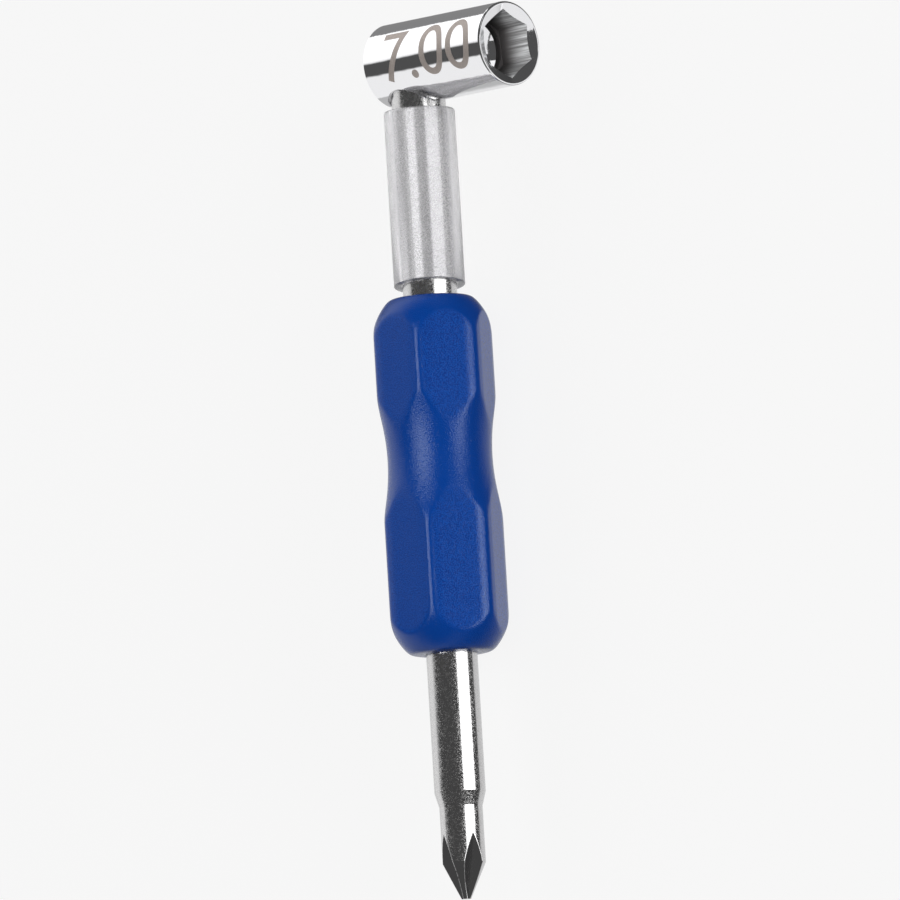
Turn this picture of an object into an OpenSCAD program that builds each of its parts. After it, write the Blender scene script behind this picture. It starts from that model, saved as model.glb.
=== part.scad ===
/* [Socket head] */
// Size across the flats of the nut that the socket takes
nut_af = 7; // [6:0.5:8]
// Room between the nut and each flat of the socket
nut_clearance = 0.05; // [0.02:0.01:0.15]
// Depth of the hexagon behind the mouth
socket_depth = 5; // [4:0.1:10]
// Turn of the hexagon's corners from the line of the shaft
hex_turn = 5.625; // [-30:0.125:30]
// How far the drilled hole stays inside the hexagon's flats
drill_inset = 0.1; // [0.05:0.05:0.4]
// Straight length of the drilled hole behind the hexagon
drill_run = 0.8; // [0.3:0.1:2]
// Angle of the drill point that ends the socket
drill_angle = 118; // [90:1:140]
// Metal between the hexagon's corners and the outside of the head
head_wall = 0.87; // [0.7:0.05:1.5]
// Metal between the drill point and the shaft's hole
head_web = 4.6; // [1:0.1:8]
// Metal behind the shaft's hole
head_back = 0.8; // [0.5:0.1:3]
// Metal above the shaft's hole
head_roof = 2; // [1:0.1:3]
// Chamfer on the back edge of the head
back_chamfer = 0.25; // [0.1:0.05:0.7]
// Rounding of the outer edge of the mouth
mouth_round = 0.2; // [0.1:0.05:0.3]
// Width of the mouth's ring, from the outside of the head to the countersink
mouth_ring = 0.35; // [0.32:0.01:0.65]
// Slope of the countersink, from the socket's axis
countersink_angle = 63; // [45:1:70]

/* [Socket shaft] */
// Diameter of the shaft
shaft_d = 6.35; // [5.5:0.05:7]
// Length of shaft held in the handle
shaft_grip = 17.5; // [14:0.5:19]

/* [Clear sleeve] */
// Wall of the tube
sleeve_wall = 0.88; // [0.5:0.01:1.2]
// Gap between the tube and the shaft
sleeve_clearance = 0.12; // [0.1:0.01:0.3]
// Length of the tube along its middle
sleeve_len = 20.65; // [15:0.05:30]
// Slant of the tube's lower cut
sleeve_cut_angle = 6.5; // [0:0.5:15]
// Turn of the raised side of the lower cut, from the mouth's side upwards
sleeve_cut_turn = 45; // [0:5:355]
// Room below the tube's longest side, down to the handle
sleeve_low_gap = 0.925; // [0.5:0.025:3]
// Room above the tube, up to the head
sleeve_high_gap = 0.75; // [0.5:0.05:3]
// Rounding of the tube's upper outer edge
sleeve_round = 0.35; // [0.1:0.05:0.45]

/* [Handle] */
// Size across the flats of the handle
handle_af = 12.8; // [12:0.1:16]
// Length of the handle
handle_len = 42; // [40:0.1:60]
// How far the turned corners lie inside the sharp hexagon
corner_relief = 0.155; // [0.05:0.005:0.25]
// Width of the flat ring around each rod at the handle's ends
end_land = 1.7; // [1:0.1:2]
// Length over which each end rounds up to the corners
end_round_len = 4.7; // [4:0.1:6]
// Radius of the rounding at each end
end_round_r = 9.4; // [8:0.1:12]
// Height of the waist's middle above the handle's lower end
waist_height = 23; // [20:0.25:26]
// How far the waist cuts below the flats
waist_inset = 0.26; // [0.05:0.01:0.6]
// Radius of the waist's hollow along the handle
waist_round_r = 25; // [20:0.5:30]

/* [Screwdriver blade] */
// Diameter of the blade's shank
blade_d = 6; // [5.5:0.05:6.5]
// Length of blade held in the handle
blade_grip = 17.5; // [14:0.5:19]
// Length of the full-width shank below the handle
shank_len = 16.2; // [10:0.1:30]
// Length of the shoulder between the shank and the neck
shoulder_len = 1.7; // [1:0.1:3]
// Diameter of the neck
neck_d = 5.05; // [4.6:0.05:5.4]
// Length of the neck
neck_len = 6.6; // [5:0.1:9]
// Length of the conical point
point_len = 4.2; // [3.5:0.1:5]
// Diameter of the blunt end of the point
tip_d = 1.1; // [0.9:0.05:1.6]
// Radius of the wheel that grinds the flutes
flute_wheel_r = 14; // [10:0.5:20]
// Angle between the two walls of a flute
flute_angle = 92; // [88:1:100]
// Distance from the axis to the bottom of a flute at the tip
flute_core = 0.4; // [0.3:0.05:0.5]
// Turn of the blade's wings from the head's axis
wing_turn = 30; // [0:5:85]

/* [Fits] */
// Gap between a fixed rod and the hole that holds it
fixed_gap = 0.02; // [0.01:0.01:0.05]
// Room past the inner end of a rod in its hole
rod_end_gap = 0.2; // [0.1:0.05:0.5]
// Chamfer on the inner ends of the rods
rod_chamfer = 0.4; // [0.1:0.05:0.6]
// How far the holding ears stand out from a rod
ear_reach = 0.9; // [0.5:0.1:1.2]
// Thickness of the holding ears
ear_width = 1.4; // [1:0.1:2]
// Length of the holding ears
ear_len = 6; // [4:0.5:8]
// Distance from a rod's inner end to its ears
ear_inset = 3; // [2:0.5:4]

/* [Hidden] */
$fn = 96;
margin = 1;

hex_in_r = nut_af / 2 + nut_clearance;
hex_out_r = hex_in_r / cos(30);
head_r = hex_out_r + head_wall;
countersink_r = head_r - mouth_ring;
drill_r = hex_in_r - drill_inset;
point_depth = drill_r / tan(drill_angle / 2);

shaft_r = shaft_d / 2;
shaft_hole_r = shaft_r + fixed_gap;
head_rear = shaft_hole_r + head_back;
mouth_reach = shaft_hole_r + head_web + point_depth + drill_run + socket_depth;

sleeve_in_r = shaft_r + sleeve_clearance;
sleeve_out_r = sleeve_in_r + sleeve_wall;
sleeve_slant = sleeve_out_r * tan(sleeve_cut_angle);

blade_r = blade_d / 2;
blade_hole_r = blade_r + fixed_gap;
neck_r = neck_d / 2;
tip_r = tip_d / 2;

flat_r = handle_af / 2;
corner_r = flat_r / cos(30) - corner_relief;
end_face_r = max(shaft_r, blade_r) + end_land;
waist_r = flat_r - waist_inset;

// Centre of the arc that rounds the lower end, from the edge of its flat ring up to the corners
end_low = [end_face_r, 0];
end_high = [corner_r, end_round_len];
end_half_chord = norm(end_high - end_low) / 2;
end_along = (end_high - end_low) / (2 * end_half_chord);
end_inwards = [-end_along.y, end_along.x];
end_centre = (end_low + end_high) / 2 + sqrt(end_round_r ^ 2 - end_half_chord ^ 2) * end_inwards;

// Heights along the shaft, from the handle's lower end
sleeve_z = handle_len + sleeve_low_gap + sleeve_slant;
head_z = sleeve_z + sleeve_len + sleeve_high_gap + head_r;
shaft_low_z = handle_len - shaft_grip;
shaft_hole_top_z = head_z + head_r - head_roof;
neck_top_z = -shank_len - shoulder_len;
point_top_z = neck_top_z - neck_len;
tip_z = point_top_z - point_len;

// Place of the shaft's axis, with the object's box standing on and centred over the origin
axis_x = (corner_r - mouth_reach) / 2;
axis_y = -(head_z + head_r + tip_z) / 2;
axis_z = max(flat_r, head_r);

// Stands a shape that was drawn along +Z on the shaft's axis, with the head towards +Y
module on_shaft() {
    translate([axis_x, axis_y, axis_z]) rotate([-90, 0, 0]) children();
}

// Turns a shape that was drawn along +Z onto the head's axis, with the mouth towards +X
module on_head() {
    on_shaft() translate([0, 0, head_z]) rotate([0, 90, 0]) children();
}

// What a quarter round takes off the upper outer corner of a profile at [r, z]
module rounded_off(r, z, radius) {
    translate([r - radius, z - radius]) difference() {
        square(radius + margin);
        circle(radius);
    }
}

// Two ears that a rod keeps in the moulded handle, grown by a gap for their pockets
module ears(rod_r, low_z, gap) {
    reach = rod_r + ear_reach + gap;
    translate([-reach, -ear_width / 2 - gap, low_z - gap])
        cube([2 * reach, ear_width + 2 * gap, ear_len + 2 * gap]);
}

// Turned outside of the head: rear chamfer, straight side and rounded mouth
module head_blank() {
    rotate_extrude() difference() {
        translate([0, -head_rear]) polygon([
            [0, 0],
            [head_r - back_chamfer, 0],
            [head_r, back_chamfer],
            [head_r, head_rear + mouth_reach],
            [0, head_rear + mouth_reach],
        ]);
        rounded_off(head_r, mouth_reach, mouth_round);
    }
}

// Hexagon with its corners near the line of the shaft, the drilled hole behind it and the countersink
module socket_cut() {
    hex_floor_z = mouth_reach - socket_depth;
    drill_floor_z = hex_floor_z - drill_run;
    countersink_depth = countersink_r / tan(countersink_angle);
    translate([0, 0, hex_floor_z]) rotate(hex_turn)
        cylinder(h = socket_depth + margin, r = hex_out_r, $fn = 6);
    rotate_extrude() polygon([
        [0, drill_floor_z - point_depth],
        [drill_r, drill_floor_z],
        [drill_r, mouth_reach],
        [0, mouth_reach],
    ]);
    translate([0, 0, mouth_reach - countersink_depth])
        cylinder(h = 2 * countersink_depth, r1 = 0, r2 = 2 * countersink_r);
}

module socket_head() {
    color("gainsboro") difference() {
        on_head() head_blank();
        on_head() socket_cut();
        on_shaft() translate([0, 0, head_z - head_r - margin])
            cylinder(h = shaft_hole_top_z - head_z + head_r + margin, r = shaft_hole_r);
    }
}

module socket_shaft() {
    top_z = shaft_hole_top_z - rod_end_gap;
    color("silver") on_shaft() union() {
        rotate_extrude() polygon([
            [0, shaft_low_z],
            [shaft_r - rod_chamfer, shaft_low_z],
            [shaft_r, shaft_low_z + rod_chamfer],
            [shaft_r, top_z - rod_chamfer],
            [shaft_r - rod_chamfer, top_z],
            [0, top_z],
        ]);
        ears(shaft_r, shaft_low_z + ear_inset, 0);
    }
}

// Everything below the slanted plane of the tube's lower cut
module below_cut() {
    reach = 2 * sleeve_out_r;
    rotate([0, -sleeve_cut_angle, -sleeve_cut_turn])
        translate([-reach, -reach, -2 * reach]) cube(2 * reach);
}

module clear_sleeve() {
    color("whitesmoke", 0.4) on_shaft() translate([0, 0, sleeve_z]) difference() {
        rotate_extrude() difference() {
            translate([sleeve_in_r, -sleeve_slant - margin])
                square([sleeve_wall, sleeve_len + sleeve_slant + margin]);
            rounded_off(sleeve_out_r, sleeve_len, sleeve_round);
        }
        below_cut();
    }
}

// Everything above one rounded end of the handle, in the plane of its outline
module above_end() {
    bulge_r = end_centre.x + end_round_r;
    translate(end_centre) circle(end_round_r);
    translate([0, end_centre.y]) square([(corner_r + bulge_r) / 2, handle_len]);
}

// Turned outline of the handle: rounded ends and the hollow waist
module handle_outline() {
    difference() {
        intersection() {
            square([corner_r, handle_len]);
            above_end();
            translate([0, handle_len]) mirror([0, 1]) above_end();
        }
        translate([waist_r + waist_round_r, waist_height]) circle(waist_round_r);
    }
}

module handle() {
    color("mediumblue") on_shaft() difference() {
        intersection() {
            cylinder(h = handle_len, r = flat_r / cos(30), $fn = 6);
            rotate_extrude() handle_outline();
        }
        translate([0, 0, shaft_low_z - rod_end_gap])
            cylinder(h = shaft_grip + rod_end_gap + margin, r = shaft_hole_r);
        ears(shaft_r, shaft_low_z + ear_inset, fixed_gap);
        translate([0, 0, -margin])
            cylinder(h = blade_grip + rod_end_gap + margin, r = blade_hole_r);
        ears(blade_r, blade_grip - ear_inset - ear_len, fixed_gap);
    }
}

// Double cone of the grinding wheel that cuts one flute
module flute_wheel() {
    half_width = flute_wheel_r * tan(flute_angle / 2);
    for (side = [0, 1])
        mirror([0, 0, side]) cylinder(h = half_width, r1 = flute_wheel_r, r2 = 0);
}

module screwdriver_blade() {
    color("darkgray") on_shaft() difference() {
        union() {
            rotate_extrude() polygon([
                [0, tip_z],
                [tip_r, tip_z],
                [neck_r, point_top_z],
                [neck_r, neck_top_z],
                [blade_r, -shank_len],
                [blade_r, blade_grip - rod_chamfer],
                [blade_r - rod_chamfer, blade_grip],
                [0, blade_grip],
            ]);
            ears(blade_r, blade_grip - ear_inset - ear_len, 0);
        }
        for (turn = [45:90:315]) rotate(wing_turn + turn)
            translate([flute_core + flute_wheel_r, 0, tip_z]) rotate([90, 0, 0]) flute_wheel();
    }
}

socket_head();
socket_shaft();
clear_sleeve();
handle();
screwdriver_blade();
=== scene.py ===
# %% [markdown]
# Truss rod wrench
#
# This lesson dresses a small hand tool: a chromed hex socket set square across a plated shaft,
# a clear sleeve that turns on the shaft, a blue moulded handle with a waist, and a cross-head
# screwdriver blade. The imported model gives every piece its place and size. The steps below
# build the finer surfaces that the eye looks for, and the finishes that light plays on.

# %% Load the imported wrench
import math

import bmesh
import bpy
import numpy as np
from mathutils import Matrix, Vector


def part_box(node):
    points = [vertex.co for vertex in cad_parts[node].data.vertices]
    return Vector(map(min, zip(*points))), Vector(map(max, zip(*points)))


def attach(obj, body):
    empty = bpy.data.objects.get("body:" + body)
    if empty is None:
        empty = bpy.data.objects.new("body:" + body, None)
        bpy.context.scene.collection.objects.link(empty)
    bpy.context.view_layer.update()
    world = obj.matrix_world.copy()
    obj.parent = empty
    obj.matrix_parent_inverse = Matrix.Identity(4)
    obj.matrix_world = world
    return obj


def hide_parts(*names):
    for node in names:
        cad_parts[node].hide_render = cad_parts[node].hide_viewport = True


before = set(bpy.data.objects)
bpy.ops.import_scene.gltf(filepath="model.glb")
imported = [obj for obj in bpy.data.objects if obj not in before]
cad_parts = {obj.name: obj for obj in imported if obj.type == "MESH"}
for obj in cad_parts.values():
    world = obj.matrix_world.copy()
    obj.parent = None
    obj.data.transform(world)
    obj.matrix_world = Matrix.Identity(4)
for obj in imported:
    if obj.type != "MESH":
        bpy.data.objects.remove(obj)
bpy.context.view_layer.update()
MM = 0.001
print("nodes:", sorted(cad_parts))

# %% [markdown]
# Sizes from the frame
#
# A piece that replaces a solid must sit exactly where the solid is. So the main radii, lengths
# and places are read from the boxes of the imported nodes, and only the small details that a box
# can't show are written as sizes in the cells that use them. The shaft lies along Y, the
# socket's mouth faces +X, and the tool rests on one flat of its handle.

# %% Read the main sizes
X, Y, Z = range(3)
sleeve_low, sleeve_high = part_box("clear_sleeve")
handle_low, handle_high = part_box("handle")
head_low, head_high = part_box("socket_head")
shaft_low, shaft_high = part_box("socket_shaft")
blade_low, blade_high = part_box("screwdriver_blade")

AXIS_X = (sleeve_low[X] + sleeve_high[X]) / 2
AXIS_Z = (sleeve_low[Z] + sleeve_high[Z]) / 2
SLEEVE_R = (sleeve_high[X] - sleeve_low[X]) / 2
SHAFT_R = (shaft_high[Z] - shaft_low[Z]) / 2
BLADE_R = (blade_high[Z] - blade_low[Z]) / 2
HEAD_R = (head_high[Z] - head_low[Z]) / 2
HEAD_Y = (head_high[Y] + head_low[Y]) / 2
HEAD_REAR = head_low[X] - AXIS_X
HEAD_MOUTH = head_high[X] - AXIS_X
HANDLE_LEN = handle_high[Y] - handle_low[Y]
FLAT_R = (handle_high[Z] - handle_low[Z]) / 2
CORNER_R = (handle_high[X] - handle_low[X]) / 2
print(f"shaft {2 * SHAFT_R / MM:.2f} mm, blade {2 * BLADE_R / MM:.2f} mm, head {2 * HEAD_R / MM:.2f} mm")
print(f"handle {HANDLE_LEN / MM:.1f} mm long, {2 * FLAT_R / MM:.2f} mm across its flats")

# %% [markdown]
# The camera
#
# The view looks at the tool square on from about halfway between the mouth's side and straight
# above, a little from the blade's end, with the shaft upright in the picture. A long lens from
# two metres away keeps the round pieces from spreading towards the edges, as in a catalogue
# picture. The aim point is moved instead of shifting the lens.

# %% Place the camera
CAMERA_TURN = math.radians(44.36)
CAMERA_DIP = math.radians(6.70)
CAMERA_ROLL = math.radians(-3.44)
CAMERA_DISTANCE = 2.0
PICTURE_SIDE = 900
PIXELS_PER_METRE = 8584
AIM_OFFSET = (-1.76 * MM, 0.44 * MM)


def add_object(name, data):
    """A new object in the scene for this camera, lamp, mesh or text."""
    thing = bpy.data.objects.new(name, data)
    bpy.context.scene.collection.objects.link(thing)
    return thing


sideways = Vector((math.cos(CAMERA_TURN), 0, math.sin(CAMERA_TURN)))
along = Vector((0, 1, 0))
view_back = math.cos(CAMERA_DIP) * sideways - math.sin(CAMERA_DIP) * along
view_up = math.cos(CAMERA_DIP) * along + math.sin(CAMERA_DIP) * sideways
view_right = view_up.cross(view_back)
picture_right = math.cos(CAMERA_ROLL) * view_right + math.sin(CAMERA_ROLL) * view_up
picture_up = math.cos(CAMERA_ROLL) * view_up - math.sin(CAMERA_ROLL) * view_right
aim = Vector((0, 0, AXIS_Z)) + AIM_OFFSET[0] * picture_right + AIM_OFFSET[1] * picture_up

lens = bpy.data.cameras.new("camera")
lens.sensor_width = 36
lens.lens = lens.sensor_width * PIXELS_PER_METRE * CAMERA_DISTANCE / PICTURE_SIDE
camera = add_object("camera", lens)
turn = Matrix((picture_right, picture_up, view_back)).transposed()
camera.matrix_world = Matrix.Translation(aim + CAMERA_DISTANCE * view_back) @ turn.to_4x4()
bpy.context.scene.camera = camera
print(f"camera: {lens.lens:.0f} mm lens at {CAMERA_DISTANCE} m")

# %% [markdown]
# Formulas as nodes
#
# Blender's node trees do arithmetic one Math node at a time, which is slow to write and hard to
# read. The small class below lets a script write a formula with plain signs, and adds the Math
# nodes for it. The same class serves the studio light, the finishes and the shape of the handle.

# %% A value that writes its own Math nodes
def feed(tree, value, socket):
    """Links a value into a socket, or sets the socket to a plain number."""
    if isinstance(value, Value):
        tree.links.new(value.socket, socket)
    else:
        socket.default_value = value


def calc(operation, *values):
    """Adds one Math node for these values and returns its result."""
    tree = next(v.tree for v in values if isinstance(v, Value))
    node = tree.nodes.new("ShaderNodeMath")
    node.operation = operation
    for socket, value in zip(node.inputs, values):
        feed(tree, value, socket)
    return Value(tree, node.outputs[0])


class Value:
    """A number that varies over a surface, kept as the output of a node."""

    def __init__(self, tree, socket):
        self.tree = tree
        self.socket = socket

    def __add__(self, other):
        return calc("ADD", self, other)

    def __sub__(self, other):
        return calc("SUBTRACT", self, other)

    def __rsub__(self, other):
        return calc("SUBTRACT", other, self)

    def __mul__(self, other):
        return calc("MULTIPLY", self, other)

    def __truediv__(self, other):
        return calc("DIVIDE", self, other)

    def __rtruediv__(self, other):
        return calc("DIVIDE", other, self)

    __radd__ = __add__
    __rmul__ = __mul__


def ramp(value, low, high):
    """0 below low, 1 above high, and a smooth step between them."""
    node = value.tree.nodes.new("ShaderNodeMapRange")
    node.interpolation_type = "SMOOTHSTEP"
    feed(value.tree, value, node.inputs["Value"])
    node.inputs["From Min"].default_value = low
    node.inputs["From Max"].default_value = high
    return Value(value.tree, node.outputs["Result"])


def between(ends, share):
    """Runs from the first end to the second as a share runs from 0 to 1."""
    return ends[0] + (ends[1] - ends[0]) * share


def parts_of(tree, vector_socket):
    """The X, Y and Z of a vector, as three values."""
    node = tree.nodes.new("ShaderNodeSeparateXYZ")
    tree.links.new(vector_socket, node.inputs[0])
    return [Value(tree, out) for out in node.outputs]


print("formulas ready")

# %% [markdown]
# Studio light
#
# Bright metal shows its surroundings more than itself, so the light is drawn as a light tent: a
# pale wall on the head's back side, pale ground, and a dark opening overhead and on the mouth's
# side, where a photographer would stand. The opening draws the charcoal stripes along the rods
# and the head. Past the head and the blade the ground is darker, as a table is beyond its paper.
# The tent is a formula on the direction of the light. Directions round the shaft are given as an
# angle from the mouth's side, and directions along it as a slope.

# %% Set the tent's levels and borders
WALL_LEVEL = 0.92
FAR_WALL_LIFT = 0.40
DARK_LEVEL = 0.08
GROUND_LEVEL = 0.80
FAR_TABLE_LEVEL = 0.24
FAR_TABLE_DROP = 0.18
NEAR_TABLE_LEVEL = 0.50

# Parts of the direction, or angles in degrees, between which one level fades into the next
GROUND_TO_WALL = (-0.07, -0.02)
WALL_TO_FAR_WALL = (0.12, 0.25)
GROUND_TO_FAR_TABLE = (0.22, 0.32)
GROUND_TO_NEAR_TABLE = (0.3, 0.5)
FAR_TABLE_SHADE = (-0.4, 0.0)
WALL_TO_OPENING = (-1.7, -1.2)
OPENING_STARTS = (0, 6)
OPENING_STOPS = (170, 175)
MOUTH_SIDE_STARTS = (-64, -56)
MOUTH_SIDE_STOPS = (6, 12)

# Slopes along the shaft at the opening's two ends, which widen away from the wall
NEAR_SLOPE = -0.5
NEAR_WIDENING = 3.0
NEAR_WIDENS = (-1.0, -0.6)
NEAR_FADE = (-0.07, 0.07)
FAR_SLOPE = 0.17
FAR_WIDENING = 9.0
FAR_WIDENS = (-0.85, -0.6)
FAR_FADE = (-0.05, 0.05)
LEAST_RISE = 0.05
print(f"tent: walls at {WALL_LEVEL}, opening at {DARK_LEVEL}")

# %% Draw the tent in the world
world = bpy.data.worlds.new("light_tent")
bpy.context.scene.world = world
world.use_nodes = True
sky = world.node_tree
dx, dy, dz = parts_of(sky, sky.nodes.new("ShaderNodeTexCoord").outputs["Generated"])
round_angle = calc("ARCTAN2", dz, dx) * math.degrees(1)
rise = calc("MAXIMUM", dz, LEAST_RISE)
across = dx / rise
lengthways = dy / rise


def toward(level, share, new_level):
    """Moves a light level towards a new one, by a share that varies with direction."""
    return level + share * (new_level - level)


upward = ramp(dz, *GROUND_TO_WALL)
level = WALL_LEVEL + FAR_WALL_LIFT * ramp(dy, *WALL_TO_FAR_WALL) * upward
level = toward(level, 1 - upward, GROUND_LEVEL)
far_table = FAR_TABLE_LEVEL - FAR_TABLE_DROP * ramp(dx, *FAR_TABLE_SHADE)
level = toward(level, (1 - upward) * ramp(dy, *GROUND_TO_FAR_TABLE), far_table)
level = toward(level, (1 - upward) * ramp(dy * -1.0, *GROUND_TO_NEAR_TABLE), NEAR_TABLE_LEVEL)
near_edge = NEAR_SLOPE - NEAR_WIDENING * ramp(across, *NEAR_WIDENS)
far_edge = FAR_SLOPE + FAR_WIDENING * ramp(across, *FAR_WIDENS)
opening = ramp(across, *WALL_TO_OPENING) * ramp(round_angle, *OPENING_STARTS)
opening = opening * (1 - ramp(round_angle, *OPENING_STOPS))
opening = opening * ramp(lengthways - near_edge, *NEAR_FADE) * ramp(far_edge - lengthways, *FAR_FADE)
level = toward(level, opening, DARK_LEVEL)
mouth_side = ramp(round_angle, *MOUTH_SIDE_STARTS) * (1 - ramp(round_angle, *MOUTH_SIDE_STOPS))
level = toward(level, mouth_side, DARK_LEVEL)
background = sky.nodes["Background"]
background.inputs["Color"].default_value = (1, 1, 1, 1)
feed(sky, level, background.inputs["Strength"])
print("tent drawn")

# %% [markdown]
# Lamps
#
# Bright panels stand close by on the mouth's side: tall ones draw the white lines along the rods
# and the sleeve, a low one the waist's highlight, and one below lights the mouth's cone.
# Two small ones show as bright patches in the socket's drilled end. Two more lamps hang in the
# opening and draw the soft highlights on the plastics. Each of these is linked to its own
# pieces, as a photographer shades a lamp with a card. Wide lamps fill the shadows, the socket
# and the sleeve. They show neither in mirror images nor through the clear plastic, so that the
# dark stripes stay dark.

# %% Helpers for lamps
PANEL_X = 0.25
STRIP_PLACE = (0.16, 0.10, 1.2)
STRIP_SIDE = 0.75


def hang_lamp(name, place, facing, sides, power):
    """A lamp that shines against the facing direction, with its second side along the shaft."""
    data = bpy.data.lights.new(name, "AREA")
    data.shape = "RECTANGLE"
    data.size, data.size_y = sides
    data.energy = power
    lamp = add_object(name, data)
    lamp.location = place
    back = Vector(facing).normalized()
    down_shaft = (along - along.dot(back) * back).normalized()
    axes = Matrix((down_shaft.cross(back), down_shaft, back)).transposed()
    lamp.rotation_euler = axes.to_euler()
    lamp.visible_camera = False
    return lamp


def stand_panel(name, y_range, z_range, level):
    """An upright panel on the mouth's side, between these places along Y and Z, of this brightness."""
    sides = (z_range[1] - z_range[0], y_range[1] - y_range[0])
    place = (PANEL_X, sum(y_range) / 2, sum(z_range) / 2)
    return hang_lamp(name, place, (1, 0, 0), sides, level * math.pi * sides[0] * sides[1])


def hang_strip(name, level):
    """A lamp in the opening, of this brightness."""
    power = level * math.pi * STRIP_SIDE * STRIP_SIDE
    return hang_lamp(name, STRIP_PLACE, STRIP_PLACE, (STRIP_SIDE, STRIP_SIDE), power)


def hang_wide_lamp(name, place, side, power):
    """A square lamp that faces the tool and doesn't show in mirror images or through clear plastic."""
    lamp = hang_lamp(name, place, place, (side, side), power)
    lamp.visible_glossy = False
    lamp.visible_transmission = False
    return lamp


print("lamp helpers ready")

# %% Hang the lamps
# Each panel has its places along Y, its places along Z and its brightness.
PANELS = {
    "rod_panel": ((-0.105, 0.080), (-0.134, 0.125), 2.6),
    "sleeve_panel": ((-0.105, 0.120), (-0.134, 0.125), 2.0),
    "handle_panel": ((-0.106, 0.050), (-0.043, 0.045), 6.0),
    "head_panel": ((-0.250, 0.100), (-0.420, 0.012), 0.80),
    "drill_panel_high": ((-0.100, -0.010), (0.024, 0.090), 0.75),
    "drill_panel_low": ((0.160, 0.320), (0.012, 0.080), 0.95),
}
STRIP_LEVELS = {"handle_strip": 5.4, "sleeve_strip": 1.9}
# Each wide lamp has its place, its side and its power.
FILL_PLACE = (0.45, 0.3, 1.3)
FILL_SIDE = 1.6
WIDE_LAMPS = {
    "fill_lamp": (FILL_PLACE, FILL_SIDE, 3.0),
    "side_lamp": ((1.2, 0.35, 0.12), 0.8, 12.5),
    "socket_lamp": ((0.6, -0.12, 1.03), 0.3, 15.0),
    "sleeve_lamp": (FILL_PLACE, FILL_SIDE, 20.0),
}

lamps = {name: stand_panel(name, *values) for name, values in PANELS.items()}
lamps |= {name: hang_strip(name, brightness) for name, brightness in STRIP_LEVELS.items()}
lamps |= {name: hang_wide_lamp(name, *values) for name, values in WIDE_LAMPS.items()}
print("lamps:", list(lamps))

# %% Lay the floor
FLOOR_SIDE = 8.0
FLOOR_DROP = 0.02 * MM
FLOOR_GLOW = 0.88
PAPER_COLOUR = (0.94, 0.94, 0.94)

floor_mesh = bpy.data.meshes.new("floor")
half = FLOOR_SIDE / 2
corners = [(-half, -half), (half, -half), (half, half), (-half, half)]
floor_mesh.from_pydata([(x, y, -FLOOR_DROP) for x, y in corners], [], [(0, 1, 2, 3)])
floor = add_object("floor", floor_mesh)
floor.visible_glossy = False
floor.visible_transmission = False

paper = bpy.data.materials.new("white_paper")
paper.use_nodes = True
sheet = paper.node_tree
paper_surface = sheet.nodes["Principled BSDF"]
paper_surface.inputs["Base Color"].default_value = (*PAPER_COLOUR, 1)
paper_surface.inputs["Roughness"].default_value = 1.0
paper_surface.inputs["Specular IOR Level"].default_value = 0.0
path_kind = sheet.nodes.new("ShaderNodeLightPath")
seen = Value(sheet, path_kind.outputs["Is Camera Ray"])
for label in ("Is Glossy Ray", "Is Transmission Ray"):
    seen = calc("MAXIMUM", seen, Value(sheet, path_kind.outputs[label]))
glow = sheet.nodes.new("ShaderNodeEmission")
blend = sheet.nodes.new("ShaderNodeMixShader")
feed(sheet, seen * FLOOR_GLOW, blend.inputs["Fac"])
sheet.links.new(paper_surface.outputs["BSDF"], blend.inputs[1])
sheet.links.new(glow.outputs["Emission"], blend.inputs[2])
sheet.links.new(blend.outputs["Shader"], sheet.nodes["Material Output"].inputs["Surface"])
floor_mesh.materials.append(paper)
print("floor laid")

# %% [markdown]
# Shared effects
#
# Two small effects turn up on several finishes. Grain is the fine, even speckle of blasted or
# plated metal and of a sparked mould. Hairlines are fine scratches drawn out along one
# direction, as polishing and broaching leave them. Each is a node group with its own scale, so
# every finish can use it at its own size.

# %% Build the grain and hairline groups
RING_STRETCH = (1.0, 0.03, 0.03)
LONG_STRETCH = (0.03, 1.0, 1.0)
HAIRLINE_DETAIL = 3.0


def new_group(name, inputs, outputs):
    """An empty shader group with these float inputs and outputs, and its two end nodes."""
    group = bpy.data.node_groups.new(name, "ShaderNodeTree")
    for label, value in inputs:
        socket = group.interface.new_socket(label, in_out="INPUT", socket_type="NodeSocketFloat")
        socket.default_value = value
    for label in outputs:
        group.interface.new_socket(label, in_out="OUTPUT", socket_type="NodeSocketFloat")
    return group, group.nodes.new("NodeGroupInput"), group.nodes.new("NodeGroupOutput")


def noise_value(tree, scale, stretch=(1, 1, 1), detail=2.0):
    """Noise on the object's own coordinates, drawn out by a stretch along X, Y and Z."""
    place = tree.nodes.new("ShaderNodeTexCoord").outputs["Object"]
    mapping = tree.nodes.new("ShaderNodeMapping")
    mapping.inputs["Scale"].default_value = stretch
    noise = tree.nodes.new("ShaderNodeTexNoise")
    noise.inputs["Detail"].default_value = detail
    tree.links.new(place, mapping.inputs["Vector"])
    tree.links.new(mapping.outputs["Vector"], noise.inputs["Vector"])
    feed(tree, scale, noise.inputs["Scale"])
    return Value(tree, noise.outputs["Fac"])


def grain_group():
    """Specks of chance brightness between Low and High, and a smooth unevenness."""
    inputs = [("Scale", 5000.0), ("Low", 0.4), ("High", 0.65)]
    group, start, end = new_group("grain", inputs, ["Speck", "Height"])
    scale = Value(group, start.outputs["Scale"])
    low = Value(group, start.outputs["Low"])
    high = Value(group, start.outputs["High"])
    cells = group.nodes.new("ShaderNodeTexVoronoi")
    place = group.nodes.new("ShaderNodeTexCoord").outputs["Object"]
    group.links.new(place, cells.inputs["Vector"])
    feed(group, scale, cells.inputs["Scale"])
    chance = parts_of(group, cells.outputs["Color"])[X]
    speck = calc("MINIMUM", calc("MAXIMUM", (chance - low) / (high - low), 0.0), 1.0)
    feed(group, speck, end.inputs["Speck"])
    feed(group, noise_value(group, scale, detail=0.0), end.inputs["Height"])
    return group


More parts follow.
